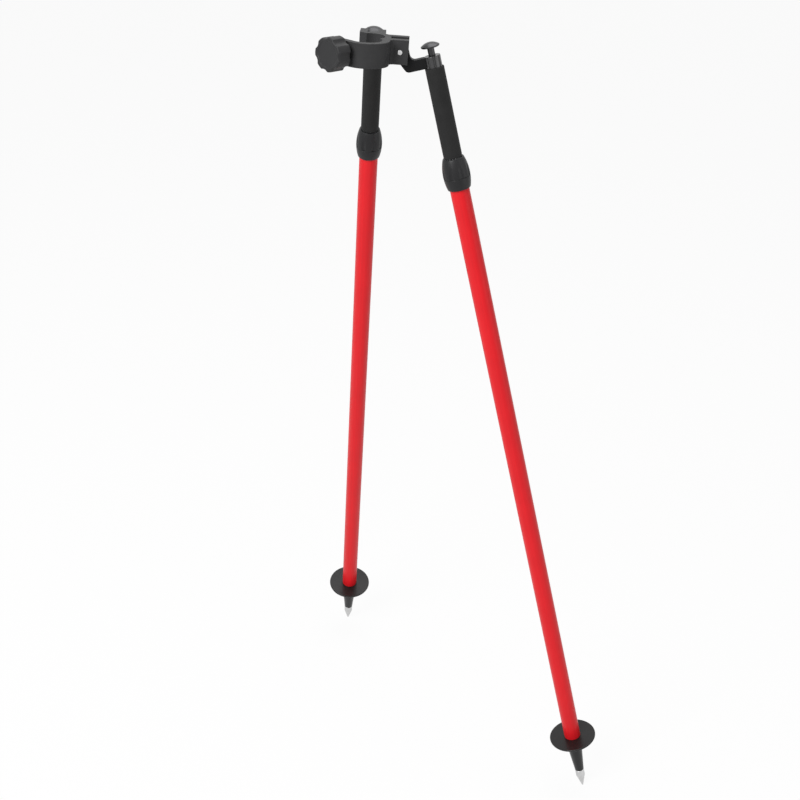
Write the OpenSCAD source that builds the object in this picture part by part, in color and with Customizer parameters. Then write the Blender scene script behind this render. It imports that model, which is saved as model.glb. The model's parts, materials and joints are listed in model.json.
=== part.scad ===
// Prism pole bipod: an open clamp that grips a survey pole, and two telescopic legs that swing on it.
// Each leg has a grip tube that slides in a red outer tube and is held by a thumb-released wedge lock.
// The origin is on the pole's axis at the clamp's mid height. +Z runs up the pole, and +Y points away
// from the knob, between the legs. All lengths are in millimetres.

/* [Pole clamp] */
// Diameter of the pole that the seat is bored for
pole_d = 32; // [30:0.5:36]
// Height of the clamp along the pole
clamp_h = 29; // [26:1:40]
// Thickness of the clamp's wall
clamp_wall = 9; // [7:0.5:11]
// Room between the pole and the screw arm
screw_room = 25.5; // [22:0.5:30]
// Radius of the bay in front of the pole
bay_r = 19.5; // [18:0.5:22]
// Distance of the bay's middle from the screw's axis, away from the mouth
bay_shift = 11; // [11:0.5:13]
// Height of the seat's lip above the pole's axis, on the mouth's side
lip_y = 6.5; // [4:0.5:7]
// Reach of the screw arm past the screw's axis
arm_reach = 19; // [15:1:26]

/* [Leg pivots] */
// Angle between the two legs, seen along the pole
leg_spread = 90; // [86:1:100]
// Turn of both legs about the pole, away from the mouth
legs_turn = 5; // [0:1:10]
// Lean of each leg away from the pole
leg_lean = 16.25; // [0:0.25:30]
// Wall left between the pole's seat and the slot of a pivot
pivot_web = 7.5; // [6:0.5:10]
// Length of the ears past the pivot pin
ear_end = 10; // [8:0.5:16]
// Thickness of one ear
ear_t = 9.5; // [7:0.5:11]
// Gap between the two ears of a pivot
ear_gap = 12.5; // [10:0.5:14]
// Radius of the hollow corner between an ear and the bay's wall
ear_fillet = 6; // [3:0.5:8]
// Diameter of the pivot pin
pin_d = 6; // [5:0.5:8]
// Length of the pin that stands out of each ear
pin_proud = 0.3; // [0.1:0.1:1]
// Thickness of a friction washer
washer_t = 0.8; // [0.5:0.1:1.2]
// Diameter of a friction washer
washer_d = 16; // [12:0.5:19]

/* [Clamp screw] */
// Diameter of the clamp screw
screw_d = 10; // [8:0.5:12]
// Wall of the threaded insert around the screw
insert_wall = 2; // [1.5:0.1:3]
// Diameter of the insert's flange
flange_d = 18; // [17:0.5:22]
// Thickness of the insert's flange
flange_t = 1.5; // [1:0.1:2.5]
// Diameter of the screw's nose, on which the pad swivels
nose_d = 7; // [5:0.5:7.5]
// Length of the screw's nose in the pad
nose_len = 3; // [2:0.1:3.5]
// Diameter of the pressure pad
pad_d = 17; // [14:0.5:19]
// Thickness of the pressure pad
pad_t = 12; // [11:0.5:13]
// Thickness of the pad's rubber facing
pad_face_t = 3; // [2:0.1:4]

/* [Knob] */
// Diameter of the knob over its lobes
knob_d = 40.5; // [34:0.5:46]
// Depth of the knob
knob_depth = 20.5; // [16:0.5:24]
// Number of lobes on the knob
knob_lobes = 7; // [6:1:9]
// Depth of the hollows between the lobes
knob_flute = 2.4; // [1.5:0.1:3.5]
// Radius of the hollows between the lobes
knob_flute_r = 8; // [5:0.5:9]
// Rounding of the knob's edges
knob_round = 3; // [1.5:0.5:4]
// Travel of the screw from fully open to fully closed
screw_travel = 11; // [9.5:0.5:13]
// Travel that is left, as the screw stands, before it is fully closed
screw_rest = 1; // [0.5:0.5:2]
// Depth of the screw in the knob
screw_in_knob = 12; // [8:0.5:13]
// Diameter of the knob's hub
hub_d = 16; // [14:0.5:22]
// Length of the knob's hub
hub_len = 2; // [1.5:0.5:8]

/* [Leg bracket] */
// Distance of the leg's axis from the pivot pin
leg_offset = 36; // [32:0.5:46]
// Drop of the bracket's limb below the pivot pin
limb_drop = 21.2; // [19:0.1:28]
// Height of the bracket's limb
limb_h = 13; // [9:0.5:14]
// Diameter of the bracket's eye
eye_d = 20; // [18:0.5:22]
// Rounding of the bracket's outer bend
heel_r = 6; // [3:0.5:6]
// Rounding of the bracket's inner bend
crook_r = 6; // [3:0.5:8]
// Diameter of the ribbed boss
boss_d = 20; // [19:0.1:20.8]
// Height of the ribbed boss
boss_h = 14; // [13.5:0.5:20]
// Number of ribs round the boss
boss_ribs = 9; // [6:1:12]
// Depth of the grooves between the ribs
rib_depth = 1.2; // [0.5:0.1:1.4]
// Diameter of a bracket rivet
rivet_d = 3.2; // [2.4:0.1:4]
// Wall of the bracket's spigot round the spring
spigot_wall = 2; // [1.6:0.1:2.2]
// Thickness of the spigot's floor, which the rivets enter
floor_t = 10; // [8:0.5:14]

/* [Leg tubes] */
// Diameter of the outer tube
outer_d = 25; // [24:0.5:26]
// Wall of the outer tube
outer_wall = 1.3; // [1:0.05:1.5]
// Length of the outer tube
outer_len = 930; // [700:1:1200]
// Diameter of the inner tube
inner_d = 21; // [20.5:0.1:21.5]
// Wall of the inner tube
inner_wall = 1.2; // [1:0.05:1.6]
// Diameter of the grip sleeve
grip_d = 23.6; // [22.6:0.1:25]
// Length of the grip sleeve
grip_len = 113.5; // [90:0.5:160]

/* [Thumb release] */
// Diameter of the thumb button's head
button_d = 23; // [18:0.5:26]
// Height of the thumb button's head
button_h = 6; // [5:0.1:8]
// Radius of the button's domed top
button_dome = 18; // [16:1:40]
// Travel of the thumb button when it is pressed
button_press = 6; // [4:0.5:8]
// Finger room left under the pressed button
button_room = 4.2; // [1:0.1:6]
// Diameter of the button's stem
stem_d = 8.5; // [7:0.5:10]
// Length of the stem's guide in the boss
guide_len = 9.5; // [7:0.5:12]
// Diameter of the push rod
rod_d = 6; // [5:0.5:6.2]
// Thickness of the push rod's collar
rod_collar_t = 2.5; // [2:0.1:4]
// Length of the return spring
spring_len = 30; // [24:1:44]
// Wire of the return spring
spring_wire = 1.2; // [0.8:0.1:1.4]
// Turns of the return spring
spring_turns = 7; // [5:1:9]

/* [Wedge lock] */
// Length of the lock body's plug in the inner tube
plug_len = 25; // [15:1:40]
// Length of the lock body below the guide ring
lock_len = 40; // [38:1:50]
// Length of the guide ring
guide_ring_len = 12; // [8:0.5:20]
// Thickness of the lock body's roof over the wedge
lock_roof = 3; // [2:0.5:5]
// Length of the wedge
wedge_len = 24; // [22:0.5:26]
// Width of the wedge and the jaws
wedge_w = 8; // [7:0.5:9]
// Half thickness of the wedge at its top
wedge_top = 3.2; // [3.1:0.1:3.4]
// Taper of each wedge face, as depth for each unit of length
wedge_slope = 0.1; // [0.06:0.01:0.11]
// Length of a lock jaw
jaw_len = 14; // [10:0.5:15]
// Space kept below the pressed wedge
wedge_room = 2; // [1:0.5:4]
// Space kept between the lock body and the foot's spigot
lock_room = 10; // [4:0.5:20]

/* [Twist collar] */
// Length of the collar
collar_len = 40; // [36:0.5:56]
// Thickness of the collar nut round the base's neck, at the collar's widest place
collar_wall = 3.38; // [3:0.02:5]
// How much narrower the collar is at its top end
collar_taper = 7.8; // [6:0.2:8.4]
// Distance of the collar's widest place below its top end
collar_widest = 22; // [18:0.5:26]
// Length of the collar's fixed base
base_len = 15; // [8:0.5:18]
// Thickness of the nut's lip over the bush
lip_t = 4.5; // [3:0.5:6]
// Height of the split bush
bush_h = 6.5; // [4:0.5:8]
// Width of the split in the bush
bush_split = 1.5; // [1:0.1:3]
// Wall of the base's neck round the outer tube
neck_wall = 1.4; // [1:0.1:1.5]
// Number of hollows round the nut
nut_flutes = 8; // [6:1:10]
// Depth of the nut's hollows
nut_flute = 1.3; // [0.5:0.1:1.6]
// Radius of the nut's hollows
nut_flute_r = 4.5; // [3:0.5:8]

/* [Foot] */
// Diameter of the step disc
disc_d = 71; // [50:1:85]
// Thickness of the step disc
disc_t = 3; // [2.5:0.1:6]
// Chamfer of the disc's edge
disc_edge = 1; // [0.4:0.1:1.2]
// Length of the foot's spigot in the outer tube
spigot_len = 30; // [16:1:50]
// Length of the foot cone below the disc
cone_len = 67; // [50:1:80]
// Diameter of the cone under the disc
cone_top_d = 26; // [25:0.5:30]
// Diameter of the cone at the steel point
cone_end_d = 13.8; // [13:0.1:18]
// Diameter of the steel point
point_d = 14; // [12.5:0.1:16]
// Length of the steel point's round part
point_body = 12; // [6:0.5:16]
// Length of the steel point's taper
point_taper = 22; // [14:0.5:30]
// Diameter of the blunt tip
tip_d = 4; // [2:0.2:6]
// Diameter of the point's shank in the cone
shank_d = 9; // [6:0.5:10]
// Length of the point's shank in the cone
shank_len = 26; // [14:1:40]

/* [Fits] */
// Radial clearance of a running fit
run_gap = 0.05; // [0.02:0.01:0.1]
// Radial clearance of pieces fixed to each other
fix_gap = 0.02; // [0.01:0.01:0.05]
// Clearance between pieces that pass each other
free_gap = 0.4; // [0.3:0.05:0.5]
// Clearance round a bracket's eye in its slot
eye_gap = 1.5; // [1:0.1:2]

/* [Hidden] */
$fn = 64;
barrel_fn = 240;
// Cuts run past the faces they open, and joined forms run into each other, by this much
cut_over = 1;
// The bay's round walls run past the arm's flat faces by this much
bay_sink = 0.05;

// Clamp
pole_r = pole_d / 2;
arm_in = pole_r + screw_room;
arm_out = arm_in + clamp_wall;
bay_y = bay_r - arm_in - bay_sink;
ear_half = ear_gap / 2 + ear_t;
slot_r = pole_r + pivot_web;
pivot_r = slot_r + eye_gap + eye_d / 2;
ear_r = pivot_r + ear_end;
arm_t = ear_gap - 2 * washer_t - 2 * run_gap;

// Places along the clamp screw, as distances from the pole's axis towards the knob
pad_back = arm_in - free_gap - (screw_travel - screw_rest);
pad_front = pad_back - pad_t;
screw_shoulder = pad_back + free_gap / 2;
knob_back = arm_out + flange_t + free_gap + screw_rest + hub_len;
insert_d = screw_d + 2 * run_gap + 2 * insert_wall;

// Places down a leg, as distances below the level of its pivot pin
limb_top = limb_drop - limb_h / 2;
limb_bottom = limb_drop + limb_h / 2;
boss_top = limb_drop - boss_h / 2;
boss_bottom = limb_drop + boss_h / 2;
button_bottom = boss_top - button_press - button_room;
pocket_top = boss_top + guide_len;
stem_bottom = pocket_top + free_gap;
rod_collar_bottom = stem_bottom + rod_collar_t;
pocket_bottom = rod_collar_bottom + spring_len;
bracket_bottom = pocket_bottom + floor_t;
rivet_level = pocket_bottom + floor_t / 2;
grip_bottom = boss_bottom + grip_len;
collar_top = grip_bottom + free_gap;
collar_bottom = collar_top + collar_len;
nut_bottom = collar_bottom - base_len;
bush_top = collar_top + lip_t + free_gap;
outer_top = bush_top + bush_h;
outer_bottom = outer_top + outer_len;
disc_bottom = outer_bottom + disc_t;
cone_bottom = disc_bottom + cone_len;
foot_spigot_top = outer_bottom - spigot_len;
lock_bottom = foot_spigot_top - lock_room;
lock_top = lock_bottom - lock_len;
inner_bottom = lock_top - guide_ring_len;
plug_top = inner_bottom - plug_len;
wedge_bottom = lock_bottom - button_press - wedge_room;
wedge_start = wedge_bottom - wedge_len;
jaw_bottom = wedge_bottom - (wedge_len - jaw_len) / 2;
jaw_top = jaw_bottom - jaw_len;

// Diameters down a leg
inner_bore = inner_d - 2 * inner_wall;
outer_bore = outer_d - 2 * outer_wall;
plug_d = inner_bore - 2 * fix_gap;
slider_d = outer_bore - 2 * run_gap;
lock_d = outer_bore - 2 * free_gap;
pocket_d = plug_d - 2 * spigot_wall;
rod_collar_d = pocket_d - 2 * free_gap;
rod_hole_d = rod_d + 2 * free_gap;
spring_d = (rod_d + rod_collar_d) / 2;
neck_d = outer_d + 2 * fix_gap + 2 * neck_wall;
foot_spigot_d = outer_bore - 2 * fix_gap;
stem_hole_d = stem_d + 2 * run_gap;

// The collar's outline is one arc through its top end and its widest place
collar_d = neck_d + 2 * collar_wall;
collar_mid = collar_top + collar_widest;
collar_swell = collar_taper / 2;
barrel_r = (collar_widest * collar_widest + collar_swell * collar_swell) / (2 * collar_swell);

LEGS = [["right", 1], ["left", -1]];
HEAD_PIECES = ["clamp_body", "screw_insert", "clamp_screw", "clamp_knob", "pressure_pad", "pad_facing"];
LEG_PIECES = [
    "pivot_pin", "friction_washers", "bracket", "bracket_rivets", "inner_tube", "grip",
    "thumb_button", "push_rod", "return_spring", "lock_wedge", "lock_body", "lock_jaw_a", "lock_jaw_b",
    "guide_ring", "outer_tube", "collar_base", "collar_bush", "collar_nut",
    "step_disc", "foot_cone", "steel_point"
];

// Plan direction of a leg, from +X
function leg_azimuth(side) = 90 - legs_turn - side * leg_spread / 2;

// Turns a child about the pole to the plan direction of a leg
module leg_direction(side) {
    rotate([0, 0, leg_azimuth(side)]) children();
}

// Places a child on a pivot, upright, with X pointing out along the leg's plan direction
module at_pivot(side) {
    leg_direction(side) translate([pivot_r, 0, 0]) children();
}

// Places a child in a leg's own frame: its pivot pin along Y at the origin, the leg's axis down -Z
module in_leg(side) {
    at_pivot(side) rotate([0, -leg_lean, 0]) children();
}

// A child's Z axis is laid along the clamp screw, away from the pole
module on_screw() {
    rotate([90, 0, 0]) children();
}

// Round bar on the leg's axis between two levels
module bar(top, bottom, d) {
    translate([leg_offset, 0, -bottom]) cylinder(h = bottom - top, d = d);
}

// Tube on the leg's axis between two levels
module sleeve(top, bottom, d, bore) {
    difference() {
        bar(top, bottom, d);
        bar(top - cut_over, bottom + cut_over, bore);
    }
}

// Solid of revolution on the leg's axis, from an outline of radius and height
module turned() {
    translate([leg_offset, 0, 0]) rotate_extrude() children();
}

// Prism across the leg, from an outline of sideways distance and height
module across(width) {
    translate([leg_offset, 0, 0]) rotate([90, 0, 90]) linear_extrude(width, center = true) children();
}

// Rod along Y, centred on a point of the leg's own frame
module cross_rod(x, level, d, length) {
    translate([x, 0, -level]) rotate([90, 0, 0]) cylinder(h = length, d = d, center = true);
}

// Plan of the clamp's opening, grown by a wall: the pole's seat and the bay in front of the screw arm
module opening_plan(wall) {
    circle(pole_r + wall);
    translate([bay_shift, bay_y]) circle(bay_r + wall);
}

// Hollow corner between the bay's wall and the ear of the right leg, in that ear's own frame
module ear_corner() {
    turn = leg_azimuth(1);
    bay = [bay_shift * cos(turn) + bay_y * sin(turn), bay_y * cos(turn) - bay_shift * sin(turn)];
    out_r = bay_r + clamp_wall;
    corner_y = -ear_half - ear_fillet;
    corner_x = bay.x + sqrt(pow(out_r + ear_fillet, 2) - pow(corner_y - bay.y, 2));
    corner = [corner_x, corner_y];
    difference() {
        polygon([bay, corner, [corner.x, 0], [bay.x, 0]]);
        translate(corner) circle(ear_fillet);
    }
}

// Outline of the clamp: the hook round the pole's seat, the bay, the screw arm and the ears
module clamp_outline() {
    arm_end_r = clamp_wall / 2;
    difference() {
        union() {
            opening_plan(clamp_wall);
            translate([arm_end_r - arm_reach, -arm_out])
                square([arm_reach - arm_end_r + bay_shift, clamp_wall]);
            translate([arm_end_r - arm_reach, arm_end_r - arm_out]) circle(arm_end_r);
            for (leg = LEGS) leg_direction(leg[1]) translate([0, -ear_half]) square([ear_r, 2 * ear_half]);
            leg_direction(1) ear_corner();
        }
        opening_plan(0);
        translate([-ear_r, -arm_in]) square([ear_r + bay_shift, arm_in + lip_y]);
        for (leg = LEGS) leg_direction(leg[1])
            translate([slot_r, -ear_gap / 2]) square([ear_r - slot_r + cut_over, ear_gap]);
    }
}

module clamp_body() {
    color("#3c3c3e") difference() {
        translate([0, 0, -clamp_h / 2]) linear_extrude(clamp_h) clamp_outline();
        for (leg = LEGS) at_pivot(leg[1])
            cross_rod(0, 0, pin_d + 2 * fix_gap, 2 * ear_half + 2 * cut_over);
        on_screw() translate([0, 0, arm_in - cut_over])
            cylinder(h = clamp_wall + 2 * cut_over, d = insert_d + 2 * fix_gap);
    }
}

module screw_insert() {
    color("#b08d45") on_screw() difference() {
        union() {
            translate([0, 0, arm_in]) cylinder(h = clamp_wall + flange_t, d = insert_d);
            translate([0, 0, arm_out]) cylinder(h = flange_t, d = flange_d);
        }
        translate([0, 0, arm_in - cut_over])
            cylinder(h = clamp_wall + flange_t + 2 * cut_over, d = screw_d + 2 * run_gap);
    }
}

module clamp_screw() {
    color("#a9abae") on_screw() {
        translate([0, 0, pad_back - nose_len]) cylinder(h = nose_len + free_gap, d = nose_d);
        translate([0, 0, screw_shoulder])
            cylinder(h = knob_back + screw_in_knob - screw_shoulder, d = screw_d);
    }
}

// Half section of the knob, rounded at its front and back edges
module knob_section() {
    r = knob_d / 2;
    square([r - knob_round, knob_depth]);
    translate([0, knob_round]) square([r, knob_depth - 2 * knob_round]);
    for (edge = [knob_round, knob_depth - knob_round])
        translate([r - knob_round, edge]) circle(knob_round);
}

module clamp_knob() {
    flute_at = knob_d / 2 + knob_flute_r - knob_flute;
    color("#343436") on_screw() translate([0, 0, knob_back]) difference() {
        union() {
            rotate_extrude() intersection() {
                knob_section();
                square([knob_d, knob_depth]);
            }
            translate([0, 0, -hub_len]) cylinder(h = hub_len + cut_over, d = hub_d);
        }
        for (lobe = [0 : knob_lobes - 1]) rotate([0, 0, lobe * 360 / knob_lobes])
            translate([flute_at, 0, -cut_over])
                cylinder(h = knob_depth + 2 * cut_over, r = knob_flute_r);
        translate([0, 0, -hub_len - cut_over])
            cylinder(h = hub_len + cut_over + screw_in_knob, d = screw_d + 2 * fix_gap);
    }
}

module pressure_pad() {
    color("#8d8f92") on_screw() difference() {
        translate([0, 0, pad_front]) cylinder(h = pad_t, d = pad_d);
        translate([0, 0, pad_back - nose_len - free_gap])
            cylinder(h = nose_len + free_gap + cut_over, d = nose_d + 2 * run_gap);
    }
}

module pad_facing() {
    color("#1d1d1f") on_screw() translate([0, 0, pad_front - pad_face_t]) cylinder(h = pad_face_t, d = pad_d);
}

module pivot_pin(side) {
    color("#c9cacc") at_pivot(side) cross_rod(0, 0, pin_d, 2 * ear_half + 2 * pin_proud);
}

module friction_washers(side) {
    color("#d8d4c4") at_pivot(side) for (face = [-1, 1])
        translate([0, face * (ear_gap - washer_t) / 2, 0]) difference() {
            cross_rod(0, 0, washer_d, washer_t);
            cross_rod(0, 0, pin_d + 2 * run_gap, washer_t + 2 * cut_over);
        }
}

// Outline of the bracket's eye, bent arm and limb, with X out to the leg and Y up
module bracket_outline() {
    eye_r = eye_d / 2;
    heel = [heel_r, heel_r - limb_bottom];
    // Outer tangent of the eye and the heel, on the pole's side
    tangent = atan2(heel.y, heel.x) - acos((eye_r - heel_r) / norm(heel));
    facing = [cos(tangent), sin(tangent)];
    circle(eye_r);
    translate(heel) circle(heel_r);
    polygon([
        eye_r * facing, heel + heel_r * facing, [heel.x, -limb_bottom], [leg_offset, -limb_bottom],
        [leg_offset, -limb_top], [eye_r, -limb_top], [eye_r, 0]
    ]);
    difference() {
        translate([eye_r, -limb_top]) square(crook_r);
        translate([eye_r + crook_r, crook_r - limb_top]) circle(crook_r);
    }
}

module ribbed_boss() {
    difference() {
        bar(boss_top, boss_bottom, boss_d);
        translate([leg_offset, 0, 0]) for (rib = [0 : boss_ribs - 1]) rotate([0, 0, rib * 360 / boss_ribs])
            translate([boss_d / 2, 0, -boss_bottom - cut_over])
                cylinder(h = boss_h + 2 * cut_over, r = rib_depth);
    }
}

module bracket(side) {
    color("#1f1f21") in_leg(side) difference() {
        union() {
            rotate([90, 0, 0]) linear_extrude(arm_t, center = true) bracket_outline();
            ribbed_boss();
            bar(boss_bottom - cut_over, bracket_bottom, plug_d);
        }
        cross_rod(0, 0, pin_d + 2 * run_gap, arm_t + 2 * cut_over);
        bar(boss_top - cut_over, pocket_top + cut_over, stem_hole_d);
        bar(pocket_top, pocket_bottom, pocket_d);
        bar(pocket_bottom - cut_over, bracket_bottom + cut_over, rod_hole_d);
        cross_rod(leg_offset, rivet_level, rivet_d + 2 * fix_gap, inner_d);
    }
}

module bracket_rivets(side) {
    rivet_out = sqrt(inner_d * inner_d - rivet_d * rivet_d) / 2;
    rivet_len = rivet_out - rod_hole_d / 2 - free_gap;
    rivet_mid = rivet_out - rivet_len / 2;
    color("#b9bbbd") in_leg(side) for (face = [-1, 1])
        translate([0, face * rivet_mid, 0]) cross_rod(leg_offset, rivet_level, rivet_d, rivet_len);
}

module inner_tube(side) {
    color("#b4b6b8") in_leg(side) difference() {
        sleeve(boss_bottom, inner_bottom, inner_d, inner_bore);
        cross_rod(leg_offset, rivet_level, rivet_d + 2 * fix_gap, inner_d + 2 * cut_over);
    }
}

module grip(side) {
    color("#19191b") in_leg(side) sleeve(boss_bottom, grip_bottom, grip_d, inner_d + 2 * fix_gap);
}

module thumb_button(side) {
    color("#2b2c2f") in_leg(side) {
        turned() intersection() {
            translate([0, button_h - button_dome - button_bottom]) circle(button_dome, $fn = barrel_fn);
            translate([0, -button_bottom]) square([button_d / 2, button_h]);
        }
        bar(button_bottom - cut_over, stem_bottom, stem_d);
    }
}

module push_rod(side) {
    color("#c2c4c6") in_leg(side) {
        bar(stem_bottom, rod_collar_bottom, rod_collar_d);
        bar(stem_bottom, wedge_start, rod_d);
    }
}

// Points of the spring's wire: rings of wire_sides round a helix from its top to its bottom
wire_sides = 6;
rings_per_turn = 8;
spring_rings = spring_turns * rings_per_turn;
spring_rise = spring_len - spring_wire - free_gap;
spring_points = [
    for (ring = [0 : spring_rings]) for (corner = [0 : wire_sides - 1])
        let (turn = ring * 360 / rings_per_turn, swing = corner * 360 / wire_sides)
        let (reach = (spring_d + spring_wire * cos(swing)) / 2)
        let (level = rod_collar_bottom + (spring_wire + free_gap) / 2 + spring_rise * ring / spring_rings)
        [reach * cos(turn), reach * sin(turn), spring_wire * sin(swing) / 2 - level]
];
spring_walls = [
    for (ring = [0 : spring_rings - 1]) for (corner = [0 : wire_sides - 1])
        let (this = ring * wire_sides, next = (corner + 1) % wire_sides)
        let (a = this + corner, b = this + next, c = b + wire_sides, d = a + wire_sides)
        for (face = [[a, b, c], [a, c, d]]) face
];
spring_ends = [
    for (corner = [1 : wire_sides - 2])
        for (face = [
            [0, corner + 1, corner],
            [for (i = [0, corner, corner + 1]) spring_rings * wire_sides + i]
        ]) face
];

module return_spring(side) {
    color("#9a9ca0") in_leg(side) translate([leg_offset, 0, 0])
        polyhedron(points = spring_points, faces = concat(spring_walls, spring_ends));
}

// Half thickness of the wedge at a level
function wedge_half(level) = wedge_top + wedge_slope * (level - wedge_start);

module lock_wedge(side) {
    wide = wedge_half(wedge_bottom);
    color("#b4903f") in_leg(side) across(wedge_w) polygon([
        [wedge_top, -wedge_start], [wide, -wedge_bottom], [-wide, -wedge_bottom], [-wedge_top, -wedge_start]
    ]);
}

module lock_body(side) {
    cavity_half = wedge_half(wedge_bottom) + free_gap;
    cavity_top = lock_top + lock_roof;
    color("#6f7174") in_leg(side) difference() {
        union() {
            bar(plug_top, lock_top + cut_over, plug_d);
            bar(lock_top, lock_bottom, lock_d);
        }
        bar(plug_top - cut_over, cavity_top + cut_over, rod_hole_d);
        across(wedge_w + 2 * free_gap) translate([-cavity_half, -lock_bottom - cut_over])
            square([2 * cavity_half, lock_bottom + cut_over - cavity_top]);
        across(wedge_w + 2 * run_gap) translate([-lock_d, -jaw_bottom - run_gap])
            square([2 * lock_d, jaw_len + 2 * run_gap]);
    }
}

// One jaw on the +Y side of the wedge; hand -1 gives the one opposite
module lock_jaw(side, hand) {
    color("#a8803a") in_leg(side) mirror([0, hand < 0 ? 1 : 0, 0]) intersection() {
        bar(jaw_top, jaw_bottom, slider_d);
        across(wedge_w) polygon([
            [wedge_half(jaw_top) + run_gap, -jaw_top], [slider_d, -jaw_top],
            [slider_d, -jaw_bottom], [wedge_half(jaw_bottom) + run_gap, -jaw_bottom]
        ]);
    }
}

module guide_ring(side) {
    color("#e6e3d8") in_leg(side) sleeve(inner_bottom, lock_top, slider_d, inner_bore);
}

module outer_tube(side) {
    color("#c4161c") in_leg(side) sleeve(outer_top, outer_bottom, outer_d, outer_bore);
}

// The part of the collar's barrel between two levels
module barrel(top, bottom) {
    turned() intersection() {
        translate([collar_d / 2 - barrel_r, -collar_mid]) circle(barrel_r, $fn = barrel_fn);
        translate([0, -bottom]) square([collar_d, bottom - top]);
    }
}

module collar_base(side) {
    color("#1b1b1d") in_leg(side) difference() {
        union() {
            barrel(nut_bottom, collar_bottom);
            bar(outer_top, nut_bottom + cut_over, neck_d);
        }
        bar(outer_top - cut_over, collar_bottom + cut_over, outer_d + 2 * fix_gap);
    }
}

module collar_bush(side) {
    bush_d = neck_d - 2 * free_gap;
    color("#e0ddd2") in_leg(side) difference() {
        sleeve(bush_top, outer_top, bush_d, inner_d + 2 * run_gap);
        translate([leg_offset, -bush_split / 2, -outer_top - cut_over])
            cube([bush_d, bush_split, bush_h + 2 * cut_over]);
    }
}

module collar_nut(side) {
    flute_at = collar_d / 2 + nut_flute_r - nut_flute;
    color("#1b1b1d") in_leg(side) difference() {
        barrel(collar_top, nut_bottom - run_gap);
        bar(collar_top - cut_over, nut_bottom, inner_d + 2 * free_gap);
        bar(collar_top + lip_t, nut_bottom + cut_over, neck_d + 2 * run_gap);
        translate([leg_offset, 0, 0]) for (flute = [0 : nut_flutes - 1])
            rotate([0, 0, (flute + 0.5) * 360 / nut_flutes])
                translate([flute_at, 0, -nut_bottom - cut_over])
                    cylinder(h = nut_bottom - collar_top + 2 * cut_over, r = nut_flute_r);
    }
}

module step_disc(side) {
    r = disc_d / 2;
    top = -outer_bottom;
    underside = -disc_bottom;
    color("#222224") in_leg(side) difference() {
        turned() polygon([
            [0, underside], [r - disc_edge, underside], [r, underside + disc_edge],
            [r, top - disc_edge], [r - disc_edge, top], [0, top]
        ]);
        bar(outer_bottom - cut_over, disc_bottom + cut_over, foot_spigot_d + 2 * fix_gap);
    }
}

module foot_cone(side) {
    color("#1c1c1e") in_leg(side) difference() {
        turned() polygon([
            [0, -foot_spigot_top], [foot_spigot_d / 2, -foot_spigot_top], [foot_spigot_d / 2, -disc_bottom],
            [cone_top_d / 2, -disc_bottom], [cone_end_d / 2, -cone_bottom], [0, -cone_bottom]
        ]);
        bar(cone_bottom - shank_len - free_gap, cone_bottom + cut_over, shank_d + 2 * fix_gap);
    }
}

module steel_point(side) {
    shoulder = -cone_bottom - point_body;
    tip = shoulder - point_taper;
    shank_top = shank_len - cone_bottom;
    color("#b3b5b7") in_leg(side) turned() polygon([
        [0, shank_top], [shank_d / 2, shank_top], [shank_d / 2, -cone_bottom], [point_d / 2, -cone_bottom],
        [point_d / 2, shoulder], [tip_d / 2, tip + tip_d], [tip_d / 4, tip], [0, tip]
    ]);
}

clamp_body();
screw_insert();
clamp_screw();
clamp_knob();
pressure_pad();
pad_facing();
for (leg = LEGS) {
    pivot_pin(leg[1]);
    friction_washers(leg[1]);
    bracket(leg[1]);
    bracket_rivets(leg[1]);
    inner_tube(leg[1]);
    grip(leg[1]);
    thumb_button(leg[1]);
    push_rod(leg[1]);
    return_spring(leg[1]);
    lock_wedge(leg[1]);
    lock_body(leg[1]);
    lock_jaw(leg[1], 1);
    lock_jaw(leg[1], -1);
    guide_ring(leg[1]);
    outer_tube(leg[1]);
    collar_base(leg[1]);
    collar_bush(leg[1]);
    collar_nut(leg[1]);
    step_disc(leg[1]);
    foot_cone(leg[1]);
    steel_point(leg[1]);
}
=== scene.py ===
"""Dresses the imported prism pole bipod: turned and moulded forms, finishes, and a pale studio round it."""

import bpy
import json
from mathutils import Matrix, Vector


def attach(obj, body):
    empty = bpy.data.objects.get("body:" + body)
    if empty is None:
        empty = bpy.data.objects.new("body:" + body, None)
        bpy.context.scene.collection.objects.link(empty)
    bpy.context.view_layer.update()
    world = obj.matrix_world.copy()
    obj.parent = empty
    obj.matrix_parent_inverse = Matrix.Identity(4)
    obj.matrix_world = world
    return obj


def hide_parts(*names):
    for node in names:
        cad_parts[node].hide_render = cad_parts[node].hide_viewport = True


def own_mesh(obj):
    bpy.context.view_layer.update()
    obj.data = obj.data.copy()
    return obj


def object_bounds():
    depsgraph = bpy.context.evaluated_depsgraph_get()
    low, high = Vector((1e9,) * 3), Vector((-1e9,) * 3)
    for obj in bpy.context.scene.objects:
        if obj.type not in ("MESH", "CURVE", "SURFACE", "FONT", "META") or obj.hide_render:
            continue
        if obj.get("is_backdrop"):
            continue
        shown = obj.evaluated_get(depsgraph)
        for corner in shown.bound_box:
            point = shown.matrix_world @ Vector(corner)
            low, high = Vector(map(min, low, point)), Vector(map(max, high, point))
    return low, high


bl_info = {
    "name": "Prism pole bipod",
    "version": (1, 0, 0),
    "blender": (4, 5, 0),
    "location": "3D View > Sidebar > Bipod",
    "description": "Builds the looks of a prism pole bipod round its packed CAD frame",
    "category": "Object",
}

import json
import math

import bmesh
import bpy
import numpy as np
from bpy.props import FloatProperty, FloatVectorProperty, IntProperty, PointerProperty
from mathutils import Matrix, Vector

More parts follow.
